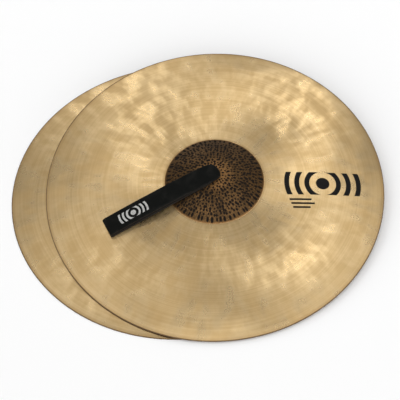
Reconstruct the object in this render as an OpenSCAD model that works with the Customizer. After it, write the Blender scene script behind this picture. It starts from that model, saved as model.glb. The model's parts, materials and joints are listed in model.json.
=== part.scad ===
// A pair of hand cymbals lying one on the other, each with its leather hand strap.
// The rear plate stands on its rim, and the front plate lies over it, shifted and tilted.
// The origin is under the middle of the whole pair, on the surface that it lies on.

/* [Plates] */
// Radius of each plate at its rim
rim_r = 228.5; // [190:0.5:280]
// Radius of the bell at its foot
bell_r = 66.5; // [55:0.5:80]
// Height of the bow, from the rim to the foot of the bell
bow_h = 25; // [20:0.5:31]
// Height of the bell above its foot
bell_h = 19; // [15.5:0.5:23]
// Roundness of the bell, where 2 is a parabola and more is blunter
bell_round = 2.2; // [2:0.1:2.8]
// Thickness of the bronze beside the hole
hole_t = 1.7; // [1.2:0.1:2.2]
// Thickness of the bronze at the foot of the bell
foot_t = 1.4; // [1:0.1:1.8]
// Thickness of the bronze at the rim
edge_t = 0.9; // [0.7:0.1:1.3]
// Width of the flat that the rim rests on
rest_w = 0.8; // [0.5:0.1:1.5]
// Radius of the hole that the strap passes through
hole_r = 8; // [7.5:0.5:10]

/* [Stack] */
// How far the front plate lies to the right of the rear one
shift_x = 48.4; // [40:0.2:58]
// How far the front plate lies behind the rear one (nearer if negative)
shift_y = -8.8; // [-12:0.2:0]
// Tilt of the front plate, which raises its far side
tilt = 4; // [3:0.1:4.2]
// Air left between the two plates where they would touch
seat_gap = 0.4; // [0.3:0.1:1]

/* [Straps] */
// Width of the hand strap
strap_w = 27; // [22:0.5:33]
// Distance from the plate's axis to the far end of the folded strap
strap_len = 159; // [132:1:191]
// Thickness of the leather
leather_t = 2.5; // [2:0.1:3]
// Width of the strap where it bends over at the hole
root_w = 18; // [15:0.5:22]
// Distance from the plate's axis to where the strap has its full width
taper_len = 26; // [20:1:34]
// Width of the doubled leather in the hole
neck_w = 11; // [8:0.5:12]
// Air left between the leather and the bronze
strap_gap = 0.4; // [0.3:0.1:1]
// Direction that the front strap lies in, in degrees from the right
front_az = 203; // [0:1:359]
// Direction that the rear strap lies in, in degrees from the right
rear_az = 5; // [0:1:10]
// Radius of the bend that takes the front strap over at the hole
front_bend_r = 4.2; // [3.5:0.1:5]
// Radius of the bend that takes the pressed rear strap over at the hole
rear_bend_r = 3; // [2.8:0.1:3.4]
// Inner radius of the front strap's fold at its far end
fold_r = 1.7; // [1:0.1:1.8]
// Most that the rear strap's loop springs up, from underside to top
loop_rise = 24; // [14:0.5:28]
// How far the rear strap can turn each way about the hole while the front plate lies on it
rear_turn = 12; // [0:1:15]

/* [Knots] */
// Width of each knotted tail
tail_w = 10; // [8:0.5:12]
// Thickness of the knot
knot_h = 8; // [6:0.5:9]
// Length that each tail stands out past the knot
tail_out = 10; // [6:0.5:12]

/* [Hidden] */
$fn = 96;

bronze = "tan";
leather = "dimgray";
bell_steps = 14;    // straight stretches along the bell's profile
bow_steps = 16;     // straight stretches along the bow's profile
bend_x = 2.2;       // the bend's centre, ahead of the leather that rises from the hole
bend_play = 0.3;    // running clearance between a bend and the strap that swings on it
slit_x = 40;        // where the front strap's two layers part
under_play = 0.3;   // least air between the rear loop and the plate over it
tall = 400;         // height of a cut that passes right through

// ---- The plate's profile: an arc for the bow, with a blunt dome on it for the bell ----

bow_drop = (rim_r * rim_r - bell_r * bell_r - bow_h * bow_h) / (2 * bow_h);
bow_r = norm([rim_r, bow_drop]);

function bow_z(r) = sqrt(bow_r * bow_r - r * r) - bow_drop;
function bell_z(r) = bow_h + bell_h * (1 - pow(r / bell_r, bell_round));
function mix(a, b, t) = a + (b - a) * t;
function plate_t(r) = r < bell_r
    ? mix(hole_t, foot_t, r / bell_r)
    : mix(foot_t, edge_t, (r - bell_r) / (rim_r - bell_r));
function plate_top(r) = edge_t + (r < bell_r ? bell_z(r) : bow_z(min(r, rim_r)));
function plate_under(r) = plate_top(r) - plate_t(r);

bell_radii = [for (i = [0 : bell_steps - 1]) mix(hole_r, bell_r, i / bell_steps)];
bow_radii = [for (i = [0 : bow_steps - 1]) mix(bell_r, rim_r, i / bow_steps)];
plate_radii = concat(bell_radii, bow_radii);

// ---- How the front plate lies over the rear one ----

// Place of the front plate's point at radius r, angle a and height z, before its lift
function tilted(r, a, z) = [
    shift_x + r * cos(a),
    shift_y + r * sin(a) * cos(tilt) - z * sin(tilt),
    r * sin(a) * sin(tilt) + z * cos(tilt)];

// Lift that brings a point of the front plate just clear of the rear one
function lift_of(p) = norm([p.x, p.y]) > rim_r ? 0 : plate_top(norm([p.x, p.y])) - p.z;

seat_steps = 90;    // rings of the underside that are tried
seat_turn = 6;      // degrees between the points tried on each ring
front_lift = seat_gap + max([
    for (i = [0 : seat_steps], a = [0 : seat_turn : 359])
        let (r = mix(hole_r, rim_r, i / seat_steps)) lift_of(tilted(r, a, plate_under(r)))]);

// Distance along the front plate's own far direction of what lies at x, y on the map,
// found by repeating a guess, because the plate is tilted
function own_y(x, y, guess, turns) = turns == 0 ? guess
    : own_y(x, y, (y - shift_y + plate_under(norm([x - shift_x, guess])) * sin(tilt)) / cos(tilt),
            turns - 1);

// Height of the front plate's underside over the map point x, y
function roof_z(x, y) =
    let (v = own_y(x, y, y - shift_y, 6))
    front_lift + v * sin(tilt) + plate_under(norm([x - shift_x, v])) * cos(tilt);

// ---- The front strap, straight from its bend to its fold ----

fold_out = fold_r + leather_t;
fold_x = strap_len - fold_out;
fold_low = plate_top(fold_x) + strap_gap;

// Slope of the straight line from under the fold that just clears the bell's shoulder
front_slope = max([
    for (r = [hole_r : 1 : bell_r]) (plate_top(r) + strap_gap - fold_low) / (fold_x - r)]);
front_bend_z = fold_low + front_slope * (fold_x - bend_x) + leather_t;

// ---- The rear strap, pressed down at its bend and sprung open in the gap ----

rear_bend_z = plate_top(0) + strap_gap + rear_bend_r;
shoulder_x = taper_len + 2;

// Least room between the plates over the rear loop, at every turn that it can make
loop_xs = [0.7 * strap_len : 8 : strap_len];
room = min([
    for (x = loop_xs, side = [-0.5, 0, 0.5], turn = [-1, 0, 1] * rear_turn)
        let (p = [x, side * strap_w], a = rear_az + turn,
             q = [p.x * cos(a) - p.y * sin(a), p.x * sin(a) + p.y * cos(a)])
        roof_z(q.x, q.y) - plate_top(x)]);
loop_tall = min(loop_rise, room - strap_gap - under_play);
loop_r = loop_tall / 2;
loop_x = strap_len - loop_r;
loop_z = plate_top(loop_x) + strap_gap + loop_r;

// ---- Knots ----

knot_half = neck_w / 2 + 0.4;
tail_far = knot_half + tail_w + tail_out;
tail_top = plate_under(norm([tail_far, knot_half + tail_w])) - strap_gap;
knot_low = tail_top - knot_h;
knot_top = plate_under(norm([knot_half, knot_half])) - strap_gap;

// ---- Frames ----

// Shifts the whole pair so that the origin is under its middle
module whole() {
    low_y = min(-rim_r, shift_y - rim_r * cos(tilt) - edge_t * sin(tilt));
    high_y = max(rim_r, shift_y + rim_r * cos(tilt));
    translate([-shift_x / 2, -(low_y + high_y) / 2, 0]) children();
}

module on_rear() { whole() children(); }

module on_front() {
    whole() translate([shift_x, shift_y, front_lift]) rotate([tilt, 0, 0]) children();
}

// ---- Shapes ----

module plate() {
    rotate_extrude() polygon(concat(
        [for (r = plate_radii) [r, plate_top(r)]],
        [[rim_r, edge_t], [rim_r, 0], [rim_r - rest_w, 0]],
        [for (i = [len(plate_radii) - 1 : -1 : 0]) [plate_radii[i], plate_under(plate_radii[i])]]));
}

// Stands a side view on its edge and gives it a width
module across(width) {
    rotate([90, 0, 0]) linear_extrude(width, center = true) children();
}

// Leather that rises doubled through the hole and ends in the bend
module neck(bend_r, bend_z) {
    across(neck_w) translate([-leather_t, knot_low]) square([2 * leather_t, bend_z - knot_low]);
    across(root_w) translate([bend_x, bend_z]) circle(bend_r);
    translate([-knot_half, -knot_half, knot_low])
        cube([2 * knot_half, 2 * knot_half, knot_top - knot_low]);
}

// The strap's outline from above, narrow at the bend and square at the fold
module outline() {
    linear_extrude(tall, center = true) polygon([
        [0, root_w / 2], [taper_len, strap_w / 2], [strap_len, strap_w / 2],
        [strap_len, -strap_w / 2], [taper_len, -strap_w / 2], [0, -root_w / 2]]);
}

// Gives a loop's side view its width, its outline and the hollow that fits the bend
module loop(bend_r, bend_z) {
    intersection() {
        outline();
        across(strap_w) difference() {
            children();
            translate([bend_x, bend_z]) circle(bend_r + bend_play);
        }
    }
}

// Points of a half circle that opens to the left, from its top to its foot
function half_turn(x, z, r) = [for (a = [90 : -15 : -90]) [x + r * cos(a), z + r * sin(a)]];

// Side view of the straight strap: its two layers part at the slit and meet in the fold
module front_side() {
    z = fold_low + fold_out;
    slit_z = mix(front_bend_z, z, (slit_x - bend_x) / (fold_x - bend_x));
    difference() {
        polygon(concat(
            [[bend_x, front_bend_z - leather_t], [bend_x, front_bend_z + leather_t]],
            half_turn(fold_x, z, fold_out)));
        polygon(concat([[slit_x, slit_z]], half_turn(fold_x, z, fold_r)));
    }
}

// Side view of the rear strap's skin, set in from its outside by a depth
module rear_skin(depth) {
    start = depth > 0 ? shoulder_x : taper_len / 2;
    under = [for (i = [12 : -1 : 0])
        let (x = mix(start, loop_x, i / 12)) [x, plate_top(x) + strap_gap + depth]];
    root = depth > 0 ? [] : [
        [bend_x, rear_bend_z - leather_t], [bend_x, rear_bend_z + leather_t],
        [shoulder_x, plate_top(shoulder_x) + strap_gap + 2 * leather_t]];
    polygon(concat(half_turn(loop_x, loop_z, loop_r - depth), under, root));
}

module rear_side() {
    difference() {
        rear_skin(0);
        rear_skin(leather_t);
    }
}

// One of the knot's four tails: a bar laid along one side of the leather's square core
module tail(turn) {
    rotate([0, 0, 90 * turn]) translate([-knot_half, knot_half, knot_low])
        cube([tail_far + knot_half, tail_w, knot_h]);
}

// ---- Nodes ----

module rear_cymbal() { color(bronze) on_rear() plate(); }

module front_cymbal() { color(bronze) on_front() plate(); }

module rear_strap_neck() {
    color(leather) on_rear() rotate([0, 0, rear_az]) neck(rear_bend_r, rear_bend_z);
}

module front_strap_neck() {
    color(leather) on_front() rotate([0, 0, front_az]) neck(front_bend_r, front_bend_z);
}

module rear_strap_loop() {
    color(leather) on_rear() rotate([0, 0, rear_az]) loop(rear_bend_r, rear_bend_z) rear_side();
}

module front_strap_loop() {
    color(leather) on_front() rotate([0, 0, front_az])
        loop(front_bend_r, front_bend_z) front_side();
}

module rear_knot_tail(i) { color(leather) on_rear() rotate([0, 0, rear_az]) tail(i); }

module front_knot_tail(i) { color(leather) on_front() rotate([0, 0, front_az]) tail(i); }

rear_cymbal();
rear_strap_neck();
rear_strap_loop();
rear_knot_tail(1);  // rear_knot_tail_1
rear_knot_tail(2);  // rear_knot_tail_2
rear_knot_tail(3);  // rear_knot_tail_3
rear_knot_tail(4);  // rear_knot_tail_4
front_cymbal();
front_strap_neck();
front_strap_loop();
front_knot_tail(1);  // front_knot_tail_1
front_knot_tail(2);  // front_knot_tail_2
front_knot_tail(3);  // front_knot_tail_3
front_knot_tail(4);  // front_knot_tail_4
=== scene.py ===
"""A pair of hand cymbals: two bronze plates, one lying tipped on the other, and two leather hand straps.

Each strap is a band of leather folded into a loop. Its two ends go down through the hole in a plate's
bell, and their four tails are knotted into a crown inside it. Lengths are in metres, z is up, and the
rear plate's rim lies on z = 0. Where each piece lies comes from the joints and boxes of the frame.
"""

import json
import logging
import math
from dataclasses import dataclass, field
from enum import Enum

import bpy
import numpy as np
from mathutils import Matrix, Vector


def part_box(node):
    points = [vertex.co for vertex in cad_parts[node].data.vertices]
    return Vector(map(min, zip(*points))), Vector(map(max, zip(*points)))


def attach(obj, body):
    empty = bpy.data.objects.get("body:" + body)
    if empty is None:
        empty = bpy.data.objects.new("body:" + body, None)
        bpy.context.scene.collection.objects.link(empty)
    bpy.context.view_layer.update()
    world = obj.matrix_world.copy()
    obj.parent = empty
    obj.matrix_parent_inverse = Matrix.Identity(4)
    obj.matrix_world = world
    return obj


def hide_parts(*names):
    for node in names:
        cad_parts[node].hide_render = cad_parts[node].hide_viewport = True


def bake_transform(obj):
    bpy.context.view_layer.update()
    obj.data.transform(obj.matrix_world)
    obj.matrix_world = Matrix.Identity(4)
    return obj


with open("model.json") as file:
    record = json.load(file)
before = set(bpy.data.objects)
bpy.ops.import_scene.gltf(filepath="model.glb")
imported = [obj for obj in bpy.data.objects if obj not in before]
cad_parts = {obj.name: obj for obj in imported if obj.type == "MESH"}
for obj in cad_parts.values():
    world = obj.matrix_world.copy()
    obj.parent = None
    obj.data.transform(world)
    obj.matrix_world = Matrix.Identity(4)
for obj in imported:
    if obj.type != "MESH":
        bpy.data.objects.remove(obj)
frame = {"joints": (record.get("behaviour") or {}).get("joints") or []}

MM = 0.001
TURN = 2 * math.pi
JOINTS = {joint["name"]: joint for joint in frame["joints"]}

log = logging.getLogger("hand_cymbals")


class Which(Enum):
    """The two plates, by the word that their nodes and joints start with."""

    REAR = "rear"
    FRONT = "front"


class Skin(Enum):
    """The three surfaces of a plate, by the number of their material slot."""

    BOW = 0
    BELL = 1
    HOLLOW = 2


# ---- Places ----------------------------------------------------------------------------------


def unit(vector: np.ndarray) -> np.ndarray:
    """Scales a vector to length 1."""
    return np.asarray(vector, float) / np.linalg.norm(vector)


def smooth_step(value: np.ndarray, low: float, high: float) -> np.ndarray:
    """Goes from 0 at low to 1 at high along the curve 3t^2 - 2t^3."""
    share = np.clip((value - low) / (high - low), 0, 1)
    return share * share * (3 - 2 * share)


@dataclass(frozen=True)
class Seat:
    """Where a piece lies: its origin, and its own x, y and z directions as rows."""

    origin: np.ndarray
    turn: np.ndarray

    def place(self, own: np.ndarray) -> np.ndarray:
        """Takes points from the piece's own directions to the shared frame."""
        return self.origin + own @ self.turn

    def own(self, point: np.ndarray) -> np.ndarray:
        """Takes a point of the shared frame to the piece's own directions."""
        return self.turn @ (np.asarray(point, float) - self.origin)


def plate_seat(which: Which) -> Seat:
    """The seat of a plate: its centre on the rim's plane, with z along its axis.

    Args:
        which: the plate.

    Returns:
        The seat, whose x stays level.
    """
    swivel = JOINTS[f"{which.value}_strap_swivel"]
    up = unit(swivel["axis"])
    side = unit(np.array([1.0, 0.0, 0.0]) - up[0] * up)
    return Seat(np.array(swivel["pos_m"], float), np.array([side, np.cross(up, side), up]))


def strap_seat(which: Which) -> Seat:
    """The seat of a strap: a plate's centre, with x along the strap and z along the plate's axis.

    Args:
        which: the plate that the strap is on.

    Returns:
        The seat, found from the axis that the strap is raised about, which is its -y.
    """
    plate = plate_seat(which)
    across = -unit(JOINTS[f"{which.value}_strap_raise"]["axis"])
    up = plate.turn[2]
    return Seat(plate.origin, np.array([np.cross(across, up), across, up]))


# ---- Meshes ----------------------------------------------------------------------------------


def band_quads(first: int, rows: int, around: int) -> np.ndarray:
    """Quads between the neighbouring rows of a closed band, wound so that row x column points out.

    Args:
        first: number of the band's first vertex.
        rows: how many rows it has.
        around: how many vertices each row has.

    Returns:
        One row of four vertex numbers for each quad.
    """
    row, column = np.meshgrid(np.arange(rows - 1), np.arange(around), indexing="ij")
    after = (column + 1) % around
    here, there = first + row * around, first + (row + 1) * around
    return np.stack([here + column, there + column, there + after, here + after], -1).reshape(-1, 4)


def halving_seam(fine: int, coarse: int, around: int, outwards: bool) -> np.ndarray:
    """Triangles that join a row of 2n vertices to a row of n vertices, three for each coarse step.

    Args:
        fine: number of the fine row's first vertex.
        coarse: number of the coarse row's first vertex.
        around: how many vertices the coarse row has.
        outwards: True where the coarse row comes after the fine one.

    Returns:
        One row of three vertex numbers for each triangle.
    """
    step = np.arange(around)
    after = (step + 1) % around
    a, b, c = fine + 2 * step, fine + 2 * step + 1, fine + 2 * after
    d, e = coarse + step, coarse + after
    fans = [(a, d, b), (b, d, e), (b, e, c)] if outwards else [(d, a, b), (d, b, e), (e, b, c)]
    return np.concatenate([np.stack(fan, -1) for fan in fans])


def make_piece(name: str, points: np.ndarray, faces: list[np.ndarray]) -> bpy.types.Object:
    """Makes a smooth mesh object of points and faces.

    Args:
        name: the piece's name.
        points: vertices in the shared frame, n by 3.
        faces: arrays of vertex numbers, each with faces of one size.

    Returns:
        The new object, at the origin.
    """
    mesh = bpy.data.meshes.new(name)
    mesh.from_pydata(points.tolist(), [], [face for block in faces for face in block.tolist()])
    mesh.polygons.foreach_set("use_smooth", np.ones(len(mesh.polygons), bool))
    piece = bpy.data.objects.new(name, mesh)
    bpy.context.scene.collection.objects.link(piece)
    return piece


def set_attribute(piece: bpy.types.Object, name: str, values: np.ndarray) -> None:
    """Stores a number or a vector for each vertex of a piece.

    Args:
        piece: the mesh object.
        name: the attribute's name, as the materials read it.
        values: n numbers, or n by 3 numbers.
    """
    vector = values.ndim == 2
    attribute = piece.data.attributes.new(name, "FLOAT_VECTOR" if vector else "FLOAT", "POINT")
    attribute.data.foreach_set("vector" if vector else "value", values.astype(np.float32).ravel())


def set_map(piece: bpy.types.Object, name: str, places: np.ndarray, faces: list[np.ndarray]) -> None:
    """Gives a piece a UV map from a place for each vertex, closing it where its first number wraps.

    Args:
        piece: the mesh object.
        name: the map's name.
        places: u and v of each vertex, with u from 0 to 1 round the piece.
        faces: the faces that the piece was made of, in the same order.
    """
    corners = []
    for block in faces:
        uv = places[block]
        wraps = np.ptp(uv[..., 0], axis=1) > 0.5
        uv[..., 0] += wraps[:, None] & (uv[..., 0] < 0.5)
        corners.append(uv.reshape(-1, 2))
    layer = piece.data.uv_layers.new(name=name)
    layer.uv.foreach_set("vector", np.concatenate(corners).astype(np.float32).ravel())


# ---- Node trees ------------------------------------------------------------------------------

Value = float | tuple | bpy.types.NodeSocket


class Bench:
    """Adds and links the nodes of one node tree."""

    def __init__(self, tree: bpy.types.NodeTree) -> None:
        """Takes the tree that the nodes go into."""
        self.tree = tree

    def add(self, kind: str, **settings: object) -> bpy.types.Node:
        """Adds a node of a kind and sets its properties."""
        node = self.tree.nodes.new(kind)
        for name, value in settings.items():
            setattr(node, name, value)
        return node

    def feed(self, socket: bpy.types.NodeSocket, value: Value) -> None:
        """Links a value to a socket if it is a socket itself, and sets it there if it is a number."""
        if isinstance(value, bpy.types.NodeSocket):
            self.tree.links.new(value, socket)
        else:
            socket.default_value = value

    def math(self, operation: str, *values: Value) -> bpy.types.NodeSocket:
        """Works out one operation on numbers."""
        node = self.add("ShaderNodeMath", operation=operation)
        for socket, value in zip(node.inputs, values, strict=False):
            self.feed(socket, value)
        return node.outputs[0]

    def vector(self, operation: str, *values: Value) -> bpy.types.Node:
        """Works out one operation on vectors, and returns its node."""
        node = self.add("ShaderNodeVectorMath", operation=operation)
        for socket, value in zip(node.inputs, values, strict=False):
            self.feed(socket, value)
        return node

    def scaled(self, vector: Value, scale: Value) -> bpy.types.NodeSocket:
        """Scales a vector by a number."""
        node = self.add("ShaderNodeVectorMath", operation="SCALE")
        self.feed(node.inputs[0], vector)
        self.feed(node.inputs["Scale"], scale)
        return node.outputs[0]

    def ease(self, value: Value, low: float, high: float, start: float = 0, end: float = 1) -> Value:
        """Goes smoothly from start to end as a value goes from low to high."""
        node = self.add("ShaderNodeMapRange", interpolation_type="SMOOTHSTEP")
        for name, number in zip(("Value", "From Min", "From Max", "To Min", "To Max"),
                                (value, low, high, start, end), strict=True):
            self.feed(node.inputs[name], number)
        return node.outputs["Result"]

    def noise(self, place: Value, scale: float, detail: float = 2, rough: float = 0.5) -> Value:
        """Cloudy noise from about 0 to 1 at a place."""
        node = self.add("ShaderNodeTexNoise", noise_dimensions="3D")
        self.feed(node.inputs["Vector"], place)
        self.feed(node.inputs["Scale"], scale)
        self.feed(node.inputs["Detail"], detail)
        self.feed(node.inputs["Roughness"], rough)
        return node.outputs["Fac"]

    def blend(self, share: Value, first: Value, second: Value, how: str = "MIX") -> Value:
        """Mixes two colours, with the second one's share from 0 to 1."""
        node = self.add("ShaderNodeMix", data_type="RGBA", blend_type=how)
        colours = [socket for socket in node.inputs if socket.type == "RGBA"]
        self.feed(node.inputs["Factor"], share)
        self.feed(colours[0], first)
        self.feed(colours[1], second)
        return next(socket for socket in node.outputs if socket.type == "RGBA")

    def read(self, name: str, output: str = "Fac") -> bpy.types.NodeSocket:
        """Reads a number or a vector that the mesh stores for each vertex."""
        return self.add("ShaderNodeAttribute", attribute_name=name).outputs[output]

    def bump(self, height: Value, distance: float, strength: float) -> bpy.types.NodeSocket:
        """Turns a height from 0 to 1 into a normal, with its depth as a distance."""
        node = self.add("ShaderNodeBump")
        node.inputs["Distance"].default_value = distance
        node.inputs["Strength"].default_value = strength
        self.feed(node.inputs["Height"], height)
        return node.outputs["Normal"]

    def use(self, group: bpy.types.NodeTree, **values: Value) -> bpy.types.Node:
        """Places a node group and feeds its inputs, named with _ for a space."""
        node = self.add("ShaderNodeGroup", node_tree=group)
        for name, value in values.items():
            self.feed(node.inputs[name.replace("_", " ")], value)
        return node


class Effect:
    """A shader node group: an effect that several finishes share."""

    KINDS = {"value": "NodeSocketFloat", "vector": "NodeSocketVector"}

    def __init__(self, name: str, inputs: dict[str, str], outputs: dict[str, str]) -> None:
        """Makes the group with its named sockets.

        Args:
            name: the group's name.
            inputs: each input's name, and whether it is a value or a vector.
            outputs: each output's name, and whether it is a value or a vector.
        """
        self.group = bpy.data.node_groups.new(name, "ShaderNodeTree")
        for side, sockets in (("INPUT", inputs), ("OUTPUT", outputs)):
            for label, kind in sockets.items():
                self.group.interface.new_socket(label, in_out=side, socket_type=self.KINDS[kind])
        self.bench = Bench(self.group)
        self.given = self.bench.add("NodeGroupInput").outputs
        self.result = self.bench.add("NodeGroupOutput").inputs


def polar_effect() -> bpy.types.NodeTree:
    """Radius and direction of a place on a plate, seen along its axis."""
    effect = Effect("polar_place", {"Place": "vector"}, {"Radius": "value", "Direction": "vector"})
    bench = effect.bench
    flat = bench.vector("MULTIPLY", effect.given["Place"], (1, 1, 0)).outputs[0]
    bench.feed(effect.result["Radius"], bench.vector("LENGTH", flat).outputs["Value"])
    bench.feed(effect.result["Direction"], bench.vector("NORMALIZE", flat).outputs[0])
    return effect.group


def lathe_effect(polar: bpy.types.NodeTree) -> bpy.types.NodeTree:
    """Fine rings that a lathe's tool leaves: noise along the radius that hardly changes on the way round."""
    effect = Effect("lathe_lines", {"Place": "vector", "Pitch": "value"},
                    {"Height": "value", "Tone": "value"})
    bench = effect.bench
    spot = bench.use(polar, Place=effect.given["Place"])
    rings = bench.math("DIVIDE", spot.outputs["Radius"], effect.given["Pitch"])

    def along(stretch: float, turn: float) -> Value:
        """A noise place that runs along the radius and wanders a little on the way round."""
        up = bench.add("ShaderNodeCombineXYZ")
        bench.feed(up.inputs["Z"], bench.math("MULTIPLY", rings, stretch))
        aside = bench.scaled(spot.outputs["Direction"], turn)
        return bench.vector("ADD", aside, up.outputs[0]).outputs[0]

    fine = bench.noise(along(1.0, 0.6), 1.0, detail=2, rough=0.6)
    broad = bench.noise(along(0.3, 0.9), 1.0, detail=3, rough=0.6)
    bench.feed(effect.result["Height"], bench.math("ADD", bench.math("MULTIPLY", fine, 0.35), broad))
    mixed = bench.math("ADD", bench.math("MULTIPLY", fine, 0.45), bench.math("MULTIPLY", broad, 0.55))
    bench.feed(effect.result["Tone"], mixed)
    return effect.group


def hammer_effect(polar: bpy.types.NodeTree) -> bpy.types.NodeTree:
    """Short streaks that run outwards, where the hammer's marks were turned down on the lathe."""
    effect = Effect("hammer_streaks", {"Place": "vector"}, {"Streak": "value", "Cloud": "value"})
    bench = effect.bench
    spot = bench.use(polar, Place=effect.given["Place"])
    out = bench.add("ShaderNodeCombineXYZ")
    bench.feed(out.inputs["Z"], bench.math("MULTIPLY", spot.outputs["Radius"], 24))
    ring = bench.scaled(spot.outputs["Direction"], 7)
    streak_place = bench.vector("ADD", ring, out.outputs[0]).outputs[0]
    bench.feed(effect.result["Streak"], bench.noise(streak_place, 1.6, detail=3, rough=0.55))
    bench.feed(effect.result["Cloud"], bench.noise(effect.given["Place"], 17, detail=2, rough=0.45))
    return effect.group


def mark_effect() -> bpy.types.NodeTree:
    """A plain sound mark: a dot between arcs that spread to both sides, cut off level above and below.

    The mask is 1 where the distance from the middle is near one of the arcs' radii, or under the dot's,
    and the height over the middle line is under the mark's. Every size is a share of the mark's width.
    """
    effect = Effect("sound_mark", {"Place": "vector", "Width": "value"}, {"Mask": "value"})
    bench = effect.bench
    dot_r, dot_blur, arc_half, half_height, blur = 0.0875, 0.0025, 0.032, 0.17, 0.002
    shrink = bench.math("DIVIDE", 1.0, effect.given["Width"])
    place = bench.scaled(effect.given["Place"], shrink)
    flat = bench.vector("MULTIPLY", place, (1, 1, 0)).outputs[0]
    distance = bench.vector("LENGTH", flat).outputs["Value"]
    height = bench.add("ShaderNodeSeparateXYZ")
    bench.feed(height.inputs[0], flat)
    mask = bench.ease(distance, dot_r + dot_blur, dot_r - dot_blur)
    for radius in (0.205, 0.335, 0.465):
        off = bench.math("ABSOLUTE", bench.math("SUBTRACT", distance, radius))
        mask = bench.math("MAXIMUM", mask, bench.ease(off, arc_half + blur, arc_half - blur))
    level = bench.ease(bench.math("ABSOLUTE", height.outputs["Y"]), half_height + blur, half_height - blur)
    bench.feed(effect.result["Mask"], bench.math("MULTIPLY", mask, level))
    return effect.group


def grain_effect() -> bpy.types.NodeTree:
    """Leather grain: small cells with creases between them, over slow waves in the hide."""
    effect = Effect("leather_grain", {"Place": "vector", "Cells": "value"},
                    {"Height": "value", "Tone": "value"})
    bench = effect.bench
    place = effect.given["Place"]
    cells = bench.add("ShaderNodeTexVoronoi", feature="DISTANCE_TO_EDGE")
    wander = bench.add("ShaderNodeTexNoise")
    bench.feed(wander.inputs["Vector"], place)
    bench.feed(wander.inputs["Scale"], 900.0)
    drift = bench.scaled(wander.outputs["Color"], 0.0006)
    bench.feed(cells.inputs["Vector"], bench.vector("ADD", place, drift).outputs[0])
    bench.feed(cells.inputs["Scale"], effect.given["Cells"])
    creases = bench.ease(cells.outputs["Distance"], 0.0, 0.16)
    waves = bench.noise(place, 60, detail=3, rough=0.6)
    bench.feed(effect.result["Height"], bench.math("ADD", bench.math("MULTIPLY", creases, 0.6), waves))
    bench.feed(effect.result["Tone"], waves)
    return effect.group


def tarnish_effect() -> bpy.types.NodeTree:
    """Cloudy patches where bronze has dulled, with fine specks inside them."""
    effect = Effect("tarnish", {"Place": "vector", "Size": "value"}, {"Patch": "value", "Speck": "value"})
    bench = effect.bench
    place = bench.scaled(effect.given["Place"], bench.math("DIVIDE", 1.0, effect.given["Size"]))
    bench.feed(effect.result["Patch"], bench.ease(bench.noise(place, 1, detail=4, rough=0.6), 0.42, 0.68))
    bench.feed(effect.result["Speck"], bench.noise(place, 14, detail=3, rough=0.7))
    return effect.group


@dataclass
class Effects:
    """Every shared effect, built once."""

    polar: bpy.types.NodeTree = field(default_factory=polar_effect)
    mark: bpy.types.NodeTree = field(default_factory=mark_effect)
    grain: bpy.types.NodeTree = field(default_factory=grain_effect)
    tarnish: bpy.types.NodeTree = field(default_factory=tarnish_effect)

    def __post_init__(self) -> None:
        """Builds the effects that use the polar one."""
        self.lathe = lathe_effect(self.polar)
        self.hammer = hammer_effect(self.polar)


def new_material(name: str) -> tuple[bpy.types.Material, Bench, bpy.types.Node]:
    """Makes a material with one Principled shader.

    Args:
        name: the material's name.

    Returns:
        The material, a bench for its tree, and the shader node.
    """
    material = bpy.data.materials.new(name)
    material.use_nodes = True
    shader = next(n for n in material.node_tree.nodes if n.type == "BSDF_PRINCIPLED")
    return material, Bench(material.node_tree), shader


# ---- Finishes --------------------------------------------------------------------------------

RGBA = tuple[float, float, float, float]
PLATE_MAP = "lathe_map"
STRAP_MAP = "hide_map"


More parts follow.
